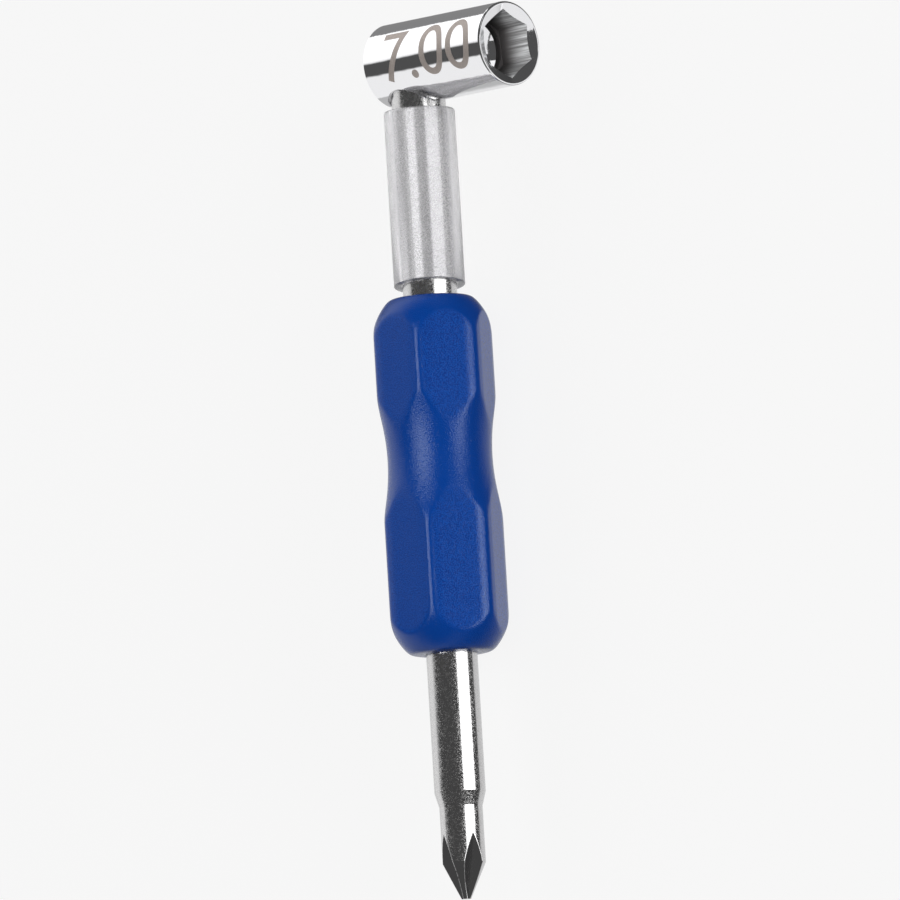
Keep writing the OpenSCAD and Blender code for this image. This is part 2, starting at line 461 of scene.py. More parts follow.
def hairline_group(name, stretch):
    """Fine lines drawn out along the directions in which the stretch is small."""
    group, start, end = new_group(name, [("Scale", 3000.0)], ["Line"])
    line = noise_value(group, Value(group, start.outputs["Scale"]), stretch, HAIRLINE_DETAIL)
    feed(group, line, end.inputs["Line"])
    return group


GRAIN = grain_group()
RING_LINES = hairline_group("ring_lines", RING_STRETCH)
LONG_LINES = hairline_group("long_lines", LONG_STRETCH)
print("effects:", [g.name for g in (GRAIN, RING_LINES, LONG_LINES)])

# %% Helpers for finishes
def new_finish(name, colour, **constants):
    """A material whose Principled shader has this colour and these constant values."""
    material = bpy.data.materials.new(name)
    material.use_nodes = True
    shader = material.node_tree.nodes["Principled BSDF"]
    shader.inputs["Base Color"].default_value = (*colour, 1)
    for label, value in constants.items():
        shader.inputs[label.replace("_", " ")].default_value = value
    return material, material.node_tree, shader


def use_group(tree, group, **inputs):
    """Places a shared effect in a material with its own values, and returns its outputs."""
    node = tree.nodes.new("ShaderNodeGroup")
    node.node_tree = group
    for label, value in inputs.items():
        node.inputs[label].default_value = value
    return {out.name: Value(tree, out) for out in node.outputs}


def add_bump(tree, shader, height, strength, depth):
    """Lets a height value tilt the light on the surface."""
    bump = tree.nodes.new("ShaderNodeBump")
    bump.inputs["Strength"].default_value = strength
    bump.inputs["Distance"].default_value = depth
    feed(tree, height, bump.inputs["Height"])
    tree.links.new(bump.outputs["Normal"], shader.inputs["Normal"])


def attribute_value(tree, name):
    """A number stored on the mesh's points under this name."""
    node = tree.nodes.new("ShaderNodeAttribute")
    node.attribute_name = name
    return Value(tree, node.outputs["Fac"])


def colour_between(tree, shader, share, first, second):
    """Gives a shader a colour between two colours, by a share that varies over the surface."""
    node = tree.nodes.new("ShaderNodeMix")
    node.data_type = "RGBA"
    feed(tree, share, node.inputs["Factor"])
    sockets = [s for s in node.inputs if s.type == "RGBA"]
    for socket, colour in zip(sockets, (first, second)):
        socket.default_value = (*colour, 1)
    mixed = next(s for s in node.outputs if s.type == "RGBA")
    tree.links.new(mixed, shader.inputs["Base Color"])


print("helpers ready")

# %% [markdown]
# Finishes
#
# Chrome plate is nearly a mirror, with a faint ripple left by the polishing wheel. The broached
# socket's colour is darkened from the mouth inward as painted shade in its depth. The rods are
# nickel plated over a blasted surface, so their stripes have grainy edges. The handle is pigmented
# plastic from a sparked mould: its flats are finely mottled, and a fine grain on its turned parts
# breaks up the highlights. The sleeve is clear soft plastic with a slightly hazy skin.

# %% Make the chrome and the socket's steel
CHROME_COLOUR = (0.90, 0.90, 0.915)
CHROME_ROUGHNESS = (0.02, 0.10)
POLISH_SCALE = 2600.0
POLISH_SHARE = 0.5
PEEL_SCALE = 900.0
RIPPLE_DEPTH = 0.03 * MM
STEEL_COLOUR = (0.48, 0.48, 0.485)
DARK_STEEL_AND_SHADE = (0.09, 0.085, 0.085)
PLATED_STEEL = (0.80, 0.81, 0.82)
STEEL_ROUGHNESS = (0.40, 0.56)
# Painted shade: millimetres from the mouth over which the socket's colour darkens to its dark steel
PAINTED_SHADE_FADE = (0.6, 4.6)
LEAST_PLATING = 0.25
BROACH_SCALE = 4200.0
BROACH_CONTRAST = (0.35, 0.7)
BROACH_DEPTH = 0.02 * MM


def chrome_finish():
    material, tree, shader = new_finish("bright_chrome", CHROME_COLOUR, Metallic=1.0)
    lines = use_group(tree, RING_LINES, Scale=POLISH_SCALE)["Line"]
    peel = use_group(tree, GRAIN, Scale=PEEL_SCALE)["Height"]
    feed(tree, between(CHROME_ROUGHNESS, lines), shader.inputs["Roughness"])
    add_bump(tree, shader, lines * POLISH_SHARE + peel, strength=0.4, depth=RIPPLE_DEPTH)
    return material


def socket_finish():
    material, tree, shader = new_finish("broached_steel", STEEL_COLOUR, Metallic=0.3)
    lines = use_group(tree, LONG_LINES, Scale=BROACH_SCALE)["Line"]
    place = tree.nodes.new("ShaderNodeTexCoord").outputs["Object"]
    from_mouth = head_high[X] / MM - parts_of(tree, place)[X] / MM
    # Painted shade: the colour darkens from the mouth inward, standing in for shade deep in the socket.
    # The dark colour also gives the broach lines their dark streaks.
    painted_light_by_depth = 1 - ramp(from_mouth, *PAINTED_SHADE_FADE)
    share = between((LEAST_PLATING, 1.0), ramp(lines, *BROACH_CONTRAST)) * painted_light_by_depth
    colour_between(tree, shader, share, DARK_STEEL_AND_SHADE, PLATED_STEEL)
    feed(tree, between(STEEL_ROUGHNESS, lines), shader.inputs["Roughness"])
    add_bump(tree, shader, lines, strength=0.6, depth=BROACH_DEPTH)
    return material


CHROME = chrome_finish()
SOCKET_STEEL = socket_finish()
print("head's metals:", [m.name for m in (CHROME, SOCKET_STEEL)])

# %% Make the rods' nickel
NICKEL_COLOUR = (0.72, 0.71, 0.70)
NICKEL_LOW = (0.62, 0.615, 0.62)
NICKEL_HIGH = (0.82, 0.815, 0.81)
NICKEL_ROUGHNESS = (0.10, 0.48)
NICKEL_SCALE = 9500.0
NICKEL_DEPTH = 0.003 * MM
SHAFT_SPECK = 0.35
BLADE_SPECK = 0.5


def nickel_finish(name, speck_low, ground_mask=None):
    """Speckled plating, which is smooth where a mask on the mesh says that it was ground."""
    material, tree, shader = new_finish(name, NICKEL_COLOUR, Metallic=1.0)
    grain = use_group(tree, GRAIN, Scale=NICKEL_SCALE, Low=speck_low, High=1.0)
    speck = grain["Speck"]
    height = grain["Height"]
    if ground_mask:
        plated = 1 - attribute_value(tree, ground_mask)
        speck = speck * plated
        height = height * plated
    colour_between(tree, shader, speck, NICKEL_LOW, NICKEL_HIGH)
    feed(tree, between(NICKEL_ROUGHNESS, speck), shader.inputs["Roughness"])
    add_bump(tree, shader, height, strength=0.5, depth=NICKEL_DEPTH)
    return material


NICKEL = nickel_finish("speckled_nickel", SHAFT_SPECK)
BLADE_METAL = nickel_finish("ground_nickel", BLADE_SPECK, ground_mask="ground")
print("rods' metals:", [m.name for m in (NICKEL, BLADE_METAL)])

# %% Make the handle's plastic
BLUE = (0.0005, 0.037, 0.226)
BLUE_LOW = (0.0003, 0.025, 0.176)
BLUE_HIGH = (0.002, 0.050, 0.280)
BLUE_GLOSS = (0.78, 0.90, 1.0)
SPARK_SCALE = 7500.0
SPARK_CONTRAST = (0.3, 0.7)
SPARK_DEPTH = 0.036 * MM
PLAIN_MOTTLE = 0.45
TURNED_ROUGHNESS = 0.17
FLAT_POLISH = 0.03
SPECK_ROUGHNESS = 0.08
FLAT_SMOOTHING = 0.65


def handle_finish():
    """Blue plastic, mottled where the mesh's pad value is 1 and grained where it is 0."""
    material, tree, shader = new_finish("royal_blue_plastic", BLUE, IOR=1.36)
    shader.inputs["Specular Tint"].default_value = (*BLUE_GLOSS, 1)
    grain = use_group(tree, GRAIN, Scale=SPARK_SCALE, Low=0.55, High=1.0)
    pad = attribute_value(tree, "pad")
    mottle = PLAIN_MOTTLE + (ramp(grain["Height"], *SPARK_CONTRAST) - PLAIN_MOTTLE) * pad
    colour_between(tree, shader, mottle, BLUE_LOW, BLUE_HIGH)
    roughness = TURNED_ROUGHNESS - FLAT_POLISH * pad + SPECK_ROUGHNESS * grain["Speck"]
    feed(tree, roughness, shader.inputs["Roughness"])
    height = grain["Height"] * (1 - FLAT_SMOOTHING * pad)
    add_bump(tree, shader, height, strength=0.9, depth=SPARK_DEPTH)
    return material


HANDLE_BLUE = handle_finish()
print("handle's plastic:", HANDLE_BLUE.name)

# %% Make the sleeve's plastic and the mark
CLEAR_COLOUR = (0.955, 0.95, 0.968)
CLEAR_SHARE = 0.76
DRAWN_SCALE = 500.0
DRAWN_DEPTH = 0.02 * MM
MARK_COLOUR = (0.60, 0.53, 0.49)
MARK_LOW = (0.56, 0.49, 0.45)
MARK_HIGH = (0.66, 0.59, 0.55)
MARK_ROUGHNESS = (0.45, 0.60)
MARK_SCALE = 8000.0


def sleeve_finish():
    material, tree, shader = new_finish("clear_vinyl", CLEAR_COLOUR, IOR=1.45, Roughness=0.08)
    shader.inputs["Transmission Weight"].default_value = CLEAR_SHARE
    lines = use_group(tree, RING_LINES, Scale=DRAWN_SCALE)["Line"]
    add_bump(tree, shader, lines, strength=0.2, depth=DRAWN_DEPTH)
    return material


def mark_finish():
    material, tree, shader = new_finish("etched_mark", MARK_COLOUR, Metallic=0.5)
    grain = use_group(tree, GRAIN, Scale=MARK_SCALE, Low=0.1, High=1.0)
    colour_between(tree, shader, grain["Speck"], MARK_LOW, MARK_HIGH)
    feed(tree, between(MARK_ROUGHNESS, grain["Speck"]), shader.inputs["Roughness"])
    return material


SLEEVE_CLEAR = sleeve_finish()
MARK_INK = mark_finish()
print("sleeve and mark:", [m.name for m in (SLEEVE_CLEAR, MARK_INK)])

# %% [markdown]
# Meshes from rings
#
# Most pieces here are turned, so their meshes are rings of points joined side by side. A shell
# collects rings, joins one to the next and closes the ends with a fan. All points are shared,
# so the mesh is closed, and its faces are turned outwards at the end.

# %% A shell made of rings
def face_outwards(mesh):
    """Turns a closed mesh's faces outwards and smooths its shading."""
    work = bmesh.new()
    work.from_mesh(mesh)
    bmesh.ops.recalc_face_normals(work, faces=work.faces)
    work.to_mesh(mesh)
    work.free()
    mesh.shade_smooth()


class Shell:
    """Points and faces of one piece, gathered ring by ring."""

    def __init__(self):
        self.points = []
        self.faces = []
        self.finish = []

    def ring(self, points):
        first = len(self.points)
        self.points.extend(map(tuple, points))
        return list(range(first, len(self.points)))

    def face(self, corners, finish=0):
        self.faces.append(tuple(corners))
        self.finish.append(finish)

    def join(self, first, second, finish=0):
        for k in range(len(first)):
            after = (k + 1) % len(first)
            self.face((first[k], first[after], second[after], second[k]), finish)

    def cap(self, ring, centre, finish=0):
        tip = self.ring([centre])[0]
        for k in range(len(ring)):
            self.face((ring[k], ring[(k + 1) % len(ring)], tip), finish)

    def grow(self, previous, points, finish=0):
        ring = self.ring(points)
        self.join(previous, ring, finish)
        return ring

    def loft(self, rings, finish=0):
        indexed = [self.ring(rings[0])]
        for points in rings[1:]:
            indexed.append(self.grow(indexed[-1], points, finish))
        return indexed

    def build(self, name, materials, sharp_angle=35):
        mesh = bpy.data.meshes.new(name)
        mesh.from_pydata(self.points, [], self.faces)
        mesh.polygons.foreach_set("material_index", self.finish)
        face_outwards(mesh)
        mesh.set_sharp_from_angle(angle=math.radians(sharp_angle))
        for material in materials:
            mesh.materials.append(material)
        piece = add_object(name, mesh)
        print(f"{name}: {len(mesh.polygons)} faces")
        return piece


def angles(count):
    """Evenly spaced angles round a full turn."""
    return np.arange(count) * 2 * math.pi / count


def round_shaft(radius, place, turn):
    """Points round the shaft: a radius and a place along Y, each a number or one per angle."""
    radius, place = np.broadcast_arrays(np.asarray(radius, float), np.asarray(place, float))
    x = AXIS_X + radius * np.cos(turn)
    z = AXIS_Z + radius * np.sin(turn)
    return np.stack(np.broadcast_arrays(x, place, z), axis=-1)


def arc(centre, radius, start, stop, steps):
    """Points (across, along) on an arc, with its angles in degrees."""
    sweep = np.radians(np.linspace(start, stop, steps + 1))
    return [(centre[0] + radius * math.cos(a), centre[1] + radius * math.sin(a)) for a in sweep]


print("shell ready")

# %% [markdown]
# The handle
#
# The handle is a turned bar with two bulges, a hollow waist and rounded ends, on which six flats
# are moulded. It could be carved with booleans, but then every soft blend would need a bevel.
# Instead a formula gives the radius at any height and angle: a smooth minimum of the hexagon and
# the turned outline. Geometry Nodes evaluate that formula on a grid, so each size stays an input
# that can be changed by hand.

# %% Turn the handle's sizes into named inputs
HANDLE_SIZES = {
    "Length": HANDLE_LEN,
    "Flat radius": FLAT_R,
    "Corner radius": CORNER_R,
    "Soft corner cut": 0.135 * MM,
    "Corner blend": 0.08 * MM,
    "Blend": 0.26 * MM,
    "End face radius": SHAFT_R + 1.7 * MM,
    "End edge": 0.5 * MM,
    "End round length": 4.7 * MM,
    "End round radius": 9.4 * MM,
    "Waist height": 23.0 * MM,
    "Waist radius": FLAT_R - 0.26 * MM,
    "Waist round radius": 25.0 * MM,
    "Low bore": BLADE_R + 0.02 * MM,
    "High bore": SHAFT_R + 0.02 * MM,
    "Lip": 1.5 * MM,
    "Roll depth": 0.18 * MM,
    "Roll width": 1.7 * MM,
}
HANDLE_ROWS = 256
HANDLE_COLUMNS = 360
FLATS = 6
SECTOR = math.radians(360 / FLATS)
print(len(HANDLE_SIZES), "sizes for the handle")

# %% Start the handle's node tree
PARTING_EDGE = (0.45, 0.55)
CRISP_ROLL = 0.3


def handle_tree():
    """A geometry tree with an input for each size, and the values of its inputs by name."""
    tree = bpy.data.node_groups.new("turned_hexagon", "GeometryNodeTree")
    for label, size in HANDLE_SIZES.items():
        socket = tree.interface.new_socket(label, in_out="INPUT", socket_type="NodeSocketFloat")
        socket.default_value = size
    tree.interface.new_socket("Mesh", in_out="OUTPUT", socket_type="NodeSocketGeometry")
    start = tree.nodes.new("NodeGroupInput")
    end = tree.nodes.new("NodeGroupOutput")
    sizes = {label: Value(tree, start.outputs[label]) for label in HANDLE_SIZES}
    return tree, sizes, end


def soft_min(first, second, distance):
    """The lesser of two values, with a rounded bend where they cross."""
    return calc("SMOOTH_MIN", first, second, distance)


def soft_positive(value, softness):
    """The value where it is positive and nothing where it is negative, with a rounded bend."""
    return (value + calc("SQRT", value * value + softness * softness)) * 0.5


def turned_outline(s, z):
    """Radius of the turned bar at a height: rounded ends, and a waist between two bulges."""
    reach_x = s["Corner radius"] - s["End face radius"]
    chord = calc("SQRT", reach_x * reach_x + s["End round length"] * s["End round length"])
    rise = calc("SQRT", s["End round radius"] * s["End round radius"] - chord * chord / 4)
    centre_r = (s["Corner radius"] + s["End face radius"]) / 2 - rise * s["End round length"] / chord
    centre_z = s["End round length"] / 2 + rise * reach_x / chord

    def end_radius(height):
        below = calc("MAXIMUM", centre_z - height, 0.0)
        inside = s["End round radius"] * s["End round radius"] - below * below
        return centre_r + calc("SQRT", inside)

    from_waist = z - s["Waist height"]
    hollow = s["Waist round radius"] * s["Waist round radius"] - from_waist * from_waist
    waist = s["Waist radius"] + s["Waist round radius"] - calc("SQRT", hollow)
    ends = soft_min(end_radius(z), end_radius(s["Length"] - z), s["Blend"])
    return soft_min(ends, waist, s["Blend"] * 2.0)


def hexagon(s, local, angle):
    """Radius of the six flats, which roll off to their borders, and of the corners between them.

    Two opposite corners lie on the mould's parting line and stay crisp. The others are rounder.
    """
    across = s["Flat radius"] * calc("TANGENT", calc("ABSOLUTE", local))
    half_width = s["Flat radius"] * math.tan(SECTOR / 2)
    rolled = calc("MAXIMUM", (across - half_width) / s["Roll width"] + 1.0, 0.0)
    rounder = 1 - ramp(calc("COSINE", (angle - SECTOR) * 2.0), *PARTING_EDGE)
    roll_depth = s["Roll depth"] * between((CRISP_ROLL, 1.0), rounder)
    flat = s["Flat radius"] - roll_depth * rolled * rolled
    own = flat / calc("COSINE", local)
    corner = s["Corner radius"] - s["Soft corner cut"] * rounder
    return soft_min(own, corner, s["Corner blend"]), own


print("handle formulas ready")

# %% Work out the handle's surface
EVEN_COLUMNS = 0.45
COLUMN_NUDGE = 0.000001
PAD_DEPTH = (0.02, 0.12)
PAD_MARGIN = (0.35, 0.7)


def handle_angles(column):
    """Angle round the shaft, and from the middle of its flat. Columns lie closer near the corners."""
    turns = (column + 0.5) * FLATS + COLUMN_NUDGE
    sector = calc("FLOOR", turns)
    across = (turns - sector) * 2.0 - 1.0
    crowded = calc("SINE", across * (math.pi / 2))
    local = (EVEN_COLUMNS * across + (1 - EVEN_COLUMNS) * crowded) * (SECTOR / 2)
    return sector * SECTOR + SECTOR / 2 + local, local


def handle_surface(s, row, column):
    """Radius, height and angle of each point of the grid, and 1 on the flats but not around them."""
    low_face = s["End face radius"] - s["Low bore"]
    high_face = s["End face radius"] - s["High bore"]
    start = (low_face + s["Lip"]) * -1.0
    span = s["Length"] + low_face + high_face + 2.0 * s["Lip"]
    from_low = start + span * (row + 0.5)
    from_high = s["Length"] - from_low
    z = soft_positive(from_low, s["End edge"]) - soft_positive(from_high, s["End edge"]) + from_high

    angle, local = handle_angles(column)
    turned = turned_outline(s, z)
    hexed, flat = hexagon(s, local, angle)
    side = soft_min(hexed, turned, s["Blend"])
    drop = soft_positive(from_low * -1.0, s["End edge"]) + soft_positive(from_high * -1.0, s["End edge"])
    upper = calc("GREATER_THAN", from_low, s["Length"] * 0.5)
    bore = s["Low bore"] + upper * (s["High bore"] - s["Low bore"])
    radius = calc("MAXIMUM", side - drop, bore)
    lip_low = calc("MAXIMUM", (from_low + low_face) * -1.0, 0.0)
    lip_high = calc("MAXIMUM", (from_high + high_face) * -1.0, 0.0)
    corner_gap = calc("ABSOLUTE", calc("ABSOLUTE", local) - SECTOR / 2) * s["Flat radius"]
    pad = ramp((turned - flat) / MM, *PAD_DEPTH) * ramp(corner_gap / MM, *PAD_MARGIN)
    return radius, z + lip_low - lip_high, angle, pad


print("handle surface ready")

# %% Evaluate the handle
WELD_DISTANCE = 0.0005 * MM


def build_handle():
    """A grid that is bent into the handle, welded along its seam and given its finish."""
    tree, s, end = handle_tree()
    grid = tree.nodes.new("GeometryNodeMeshGrid")
    grid.inputs["Size X"].default_value = 1
    grid.inputs["Size Y"].default_value = 1
    grid.inputs["Vertices X"].default_value = HANDLE_ROWS
    grid.inputs["Vertices Y"].default_value = HANDLE_COLUMNS + 1
    row, column, _ = parts_of(tree, tree.nodes.new("GeometryNodeInputPosition").outputs[0])
    radius, height, angle, pad = handle_surface(s, row, column)

    place = tree.nodes.new("ShaderNodeCombineXYZ")
    feed(tree, AXIS_X + radius * calc("COSINE", angle), place.inputs["X"])
    feed(tree, height + handle_low[Y], place.inputs["Y"])
    feed(tree, AXIS_Z + radius * calc("SINE", angle), place.inputs["Z"])
    store = tree.nodes.new("GeometryNodeStoreNamedAttribute")
    store.data_type = "FLOAT"
    store.domain = "POINT"
    store.inputs["Name"].default_value = "pad"
    feed(tree, pad, store.inputs["Value"])
    shape = tree.nodes.new("GeometryNodeSetPosition")
    tree.links.new(place.outputs["Vector"], shape.inputs["Position"])
    merge = tree.nodes.new("GeometryNodeMergeByDistance")
    merge.inputs["Distance"].default_value = WELD_DISTANCE
    realize = tree.nodes.new("GeometryNodeRealizeInstances")
    paint = tree.nodes.new("GeometryNodeSetMaterial")
    paint.inputs["Material"].default_value = HANDLE_BLUE

    tree.links.new(grid.outputs["Mesh"], store.inputs["Geometry"])
    chain = [store, shape, merge, realize, paint]
    for before, after in zip(chain, chain[1:]):
        tree.links.new(before.outputs["Geometry"], after.inputs["Geometry"])
    tree.links.new(paint.outputs["Geometry"], end.inputs["Mesh"])
    return tree


def plain_mesh(carrier):
    """The mesh that an object shows once its text or its modifiers are worked out."""
    graph = bpy.context.evaluated_depsgraph_get()
    return bpy.data.meshes.new_from_object(carrier.evaluated_get(graph))


def evaluate(name, tree, sizes):
    """Runs a geometry tree once and keeps its result as a plain mesh."""
    carrier = add_object(name, bpy.data.meshes.new(name + "_start"))
    modifier = carrier.modifiers.new("shape", "NODES")
    modifier.node_group = tree
    for item in tree.interface.items_tree:
        if item.item_type == "SOCKET" and item.in_out == "INPUT":
            modifier[item.identifier] = sizes[item.name]
    mesh = plain_mesh(carrier)
    carrier.modifiers.clear()
    carrier.data = mesh
    return carrier


handle = evaluate("moulded_handle", build_handle(), HANDLE_SIZES)
face_outwards(handle.data)
print(f"handle: {len(handle.data.polygons)} faces")

# %% [markdown]
# The socket head
#
# The head is a turned and chromed piece. Its mouth has a narrow bright ring, a countersink that
# runs into the hexagon in six scallops, and a drilled end. Its underside has the hole for the
# shaft, with a broken edge that catches light. The hole is worked into the mesh as rings that
# run from a square patch of the wall to a circle, so the chrome round it stays smooth.

# %% Lay out the head's wall
HEAD_COLUMNS = 192
PATCH_ROWS = 32
PATCH_COLUMNS = (64, 128)
PATCH_FRONT = 4.6 * MM
WALL_ROWS = 30
BACK_CHAMFER = 0.25 * MM
MOUTH_ROUND = 0.2 * MM
HOLE_R = SHAFT_R + 0.02 * MM
HOLE_EDGE = 0.36 * MM
HOLE_DEPTH = 1.2 * MM
PATCH_LAYERS = 7
PATCH_CROWDING = 0.8


def round_head(radius, place, turn):
    """Points round the head's axis: a radius, and a place along X from the shaft's axis."""
    radius, place = np.broadcast_arrays(np.asarray(radius, float), np.asarray(place, float))
    y = HEAD_Y + radius * np.cos(turn)
    z = AXIS_Z + radius * np.sin(turn)
    return np.stack(np.broadcast_arrays(AXIS_X + place, y, z), axis=-1)


head_turn = angles(HEAD_COLUMNS)
wall_start = HEAD_REAR + BACK_CHAMFER
wall_end = HEAD_MOUTH - MOUTH_ROUND
patch_places = np.linspace(wall_start, PATCH_FRONT, PATCH_ROWS + 1)
wall_places = np.append(patch_places, np.linspace(PATCH_FRONT, wall_end, WALL_ROWS + 1)[1:])
print(f"head wall: {len(wall_places)} rings")

# %% Build the wall with its shaft hole
head_shell = Shell()
wall = [head_shell.ring(round_head(HEAD_R, place, head_turn)) for place in wall_places]
first_column, last_column = PATCH_COLUMNS
for row in range(len(wall) - 1):
    for column in range(HEAD_COLUMNS):
        if row < PATCH_ROWS and first_column <= column < last_column:
            continue
        after = (column + 1) % HEAD_COLUMNS
        head_shell.face((wall[row][column], wall[row][after], wall[row + 1][after], wall[row + 1][column]))

border = [(0, c) for c in range(first_column, last_column)]
border += [(r, last_column) for r in range(PATCH_ROWS)]
border += [(PATCH_ROWS, c) for c in range(last_column, first_column, -1)]
border += [(r, first_column) for r in range(PATCH_ROWS, 0, -1)]
border_ring = [wall[r][c] for r, c in border]
border_place = np.array([wall_places[r] for r, _ in border])
border_turn = np.array([head_turn[c] for _, c in border])


def on_hole(radius):
    """Place along X and turn round the head of a circle about the shaft, on the head's wall."""
    bearing = np.arctan2(HEAD_R * np.sin(border_turn), border_place)
    return radius * np.cos(bearing), math.pi - np.arcsin(radius * np.sin(bearing) / HEAD_R)


edge_place, edge_turn = on_hole(HOLE_R + HOLE_EDGE)
previous = border_ring
for layer in range(1, PATCH_LAYERS + 1):
    share = (layer / PATCH_LAYERS) ** PATCH_CROWDING
    place = border_place + (edge_place - border_place) * share
    turn_here = border_turn + (edge_turn - border_turn) * share
    previous = head_shell.grow(previous, round_head(HEAD_R, place, turn_here))
wall_faces = len(head_shell.faces)
print(f"head wall: {wall_faces} faces")

# %% Break the hole's edge and close the hole
BACK_RING_R = 0.6 * HEAD_R

hole_place, hole_turn = on_hole(HOLE_R)
rim = round_head(HEAD_R, hole_place, hole_turn)
for depth in (HOLE_EDGE, HOLE_EDGE + HOLE_DEPTH):
    deeper = rim + np.array([0, depth, 0])
    previous = head_shell.grow(previous, deeper)
head_shell.cap(previous, (AXIS_X, float(deeper[:, Y].mean()), AXIS_Z))

rear = [(HEAD_R - BACK_CHAMFER, HEAD_REAR), (BACK_RING_R, HEAD_REAR)]
previous = wall[0]
for radius, place in rear:
    previous = head_shell.grow(previous, round_head(radius, place, head_turn))
head_shell.cap(previous, (AXIS_X + HEAD_REAR, HEAD_Y, AXIS_Z))
print(f"head with its back: {len(head_shell.faces)} faces")

# %% Cut the mouth, the hexagon and the drilled end
NUT_ACROSS_FLATS = 7.0 * MM
NUT_CLEARANCE = 0.05 * MM
HEX_TURN = math.radians(5.625)
SOCKET_DEPTH = 5.0 * MM
MOUTH_RING = 0.35 * MM
RING_EDGE = 0.05 * MM
MOUTH_STEPS = 6
SINK_SHARES = (0.5, 1.0)
COUNTERSINK_SLOPE = math.radians(63)
DRILL_INSET = 0.1 * MM
DRILL_RUN = 0.8 * MM
DRILL_HALF_ANGLE = math.radians(59)

hex_in_r = NUT_ACROSS_FLATS / 2 + NUT_CLEARANCE
hex_local = np.mod(head_turn - HEX_TURN, SECTOR) - SECTOR / 2
hex_r = hex_in_r / np.cos(hex_local)
sink_r = HEAD_R - MOUTH_RING
sink_place = HEAD_MOUTH - (sink_r - hex_r) / math.tan(COUNTERSINK_SLOPE)
drill_r = hex_in_r - DRILL_INSET
hex_floor = HEAD_MOUTH - SOCKET_DEPTH
drill_floor = hex_floor - DRILL_RUN

mouth_arc = arc((HEAD_R - MOUTH_ROUND, wall_end), MOUTH_ROUND, 0, 90, MOUTH_STEPS)[1:]
mouth_rings = [round_head(r, p, head_turn) for r, p in mouth_arc]
mouth_rings.append(round_head(sink_r + RING_EDGE, HEAD_MOUTH, head_turn))
mouth_rings.append(round_head(sink_r, HEAD_MOUTH - RING_EDGE / 2, head_turn))
for share in SINK_SHARES:
    radius = sink_r + (hex_r - sink_r) * share
    place = HEAD_MOUTH - RING_EDGE / 2 + (sink_place - HEAD_MOUTH + RING_EDGE / 2) * share
    mouth_rings.append(round_head(radius, place, head_turn))
lofted = head_shell.loft(mouth_rings)
head_shell.join(wall[-1], lofted[0])
inner = [
    round_head(hex_r, hex_floor, head_turn),
    round_head(drill_r, hex_floor, head_turn),
    round_head(drill_r, drill_floor, head_turn),
]
deep = head_shell.loft(inner, finish=1)
head_shell.join(lofted[-1], deep[0], finish=1)
point = drill_floor - drill_r / math.tan(DRILL_HALF_ANGLE)
head_shell.cap(deep[-1], (AXIS_X + point, HEAD_Y, AXIS_Z))
head = head_shell.build("chromed_socket_head", [CHROME, SOCKET_STEEL])

# %% Give the wall its true normals
def set_wall_normals(piece, face_count):
    """Chrome shows every flat spot, so the wall's light is computed from the true cylinder."""
    mesh = piece.data
    normals = np.array([c.vector for c in mesh.corner_normals])
    corners = np.array([v.co for v in mesh.vertices])
    for face in mesh.polygons[:face_count]:
        for loop in face.loop_indices:
            _, y, z = corners[mesh.loops[loop].vertex_index]
            outward = Vector((0, y - HEAD_Y, z - AXIS_Z))
            normals[loop] = outward.normalized()
    mesh.normals_split_custom_set(normals.tolist())


set_wall_normals(head, wall_faces)
print("wall normals set")

# %% [markdown]
# The size mark
#
# A socket carries its size in plain figures. Here the figures come from Blender's own font, are
# made a thin solid, and are wrapped round the head so that they read from the back to the mouth.

# %% Wrap the figures round the head
MARK_TEXT = "7.00"
MARK_HEIGHT = 6.2 * MM
MARK_LENGTH = 14.6 * MM
MARK_MIDDLE = 6.6 * MM
MARK_TURN = math.radians(87)
MARK_PROUD = 0.008 * MM
MARK_SUNK = 0.03 * MM
MARK_CUTS = 24
FIGURE_DEPTH = 0.5
FIGURE_WELD = 0.0001

letters = bpy.data.curves.new("figures", "FONT")
letters.body = MARK_TEXT
letters.extrude = FIGURE_DEPTH
carrier = add_object("figures", letters)
mark_mesh = plain_mesh(carrier)
bpy.data.objects.remove(carrier)

work = bmesh.new()
work.from_mesh(mark_mesh)
bmesh.ops.remove_doubles(work, verts=work.verts, dist=FIGURE_WELD)
flat_points = np.array([v.co for v in work.verts])
lowest, highest = flat_points.min(axis=0), flat_points.max(axis=0)
for cut in np.linspace(lowest[Y], highest[Y], MARK_CUTS + 1)[1:-1]:
    everything = work.verts[:] + work.edges[:] + work.faces[:]
    bmesh.ops.bisect_plane(work, geom=everything, plane_co=(0, cut, 0), plane_no=(0, 1, 0))
for vertex in work.verts:
    share_x = (vertex.co.x - lowest[X]) / (highest[X] - lowest[X]) - 0.5
    share_y = (vertex.co.y - lowest[Y]) / (highest[Y] - lowest[Y]) - 0.5
    radius = HEAD_R + (MARK_PROUD if vertex.co.z > 0 else -MARK_SUNK)
    turn_here = MARK_TURN - share_y * MARK_HEIGHT / HEAD_R
    vertex.co = round_head(radius, MARK_MIDDLE + share_x * MARK_LENGTH, turn_here)
bmesh.ops.recalc_face_normals(work, faces=work.faces)
work.to_mesh(mark_mesh)
work.free()
mark_mesh.materials.clear()
mark_mesh.materials.append(MARK_INK)
size_mark = add_object("size_mark", mark_mesh)
print(f"size mark: {len(mark_mesh.polygons)} faces")

# %% [markdown]
# The clear sleeve
#
# The sleeve is a length of clear tube, cut at a slight slant below and rolled at its upper rim.
# Clear plastic needs both of its walls, inside and out, because light bends at each of them. So
# the mesh is a closed ring that runs up the outside and down the inside.

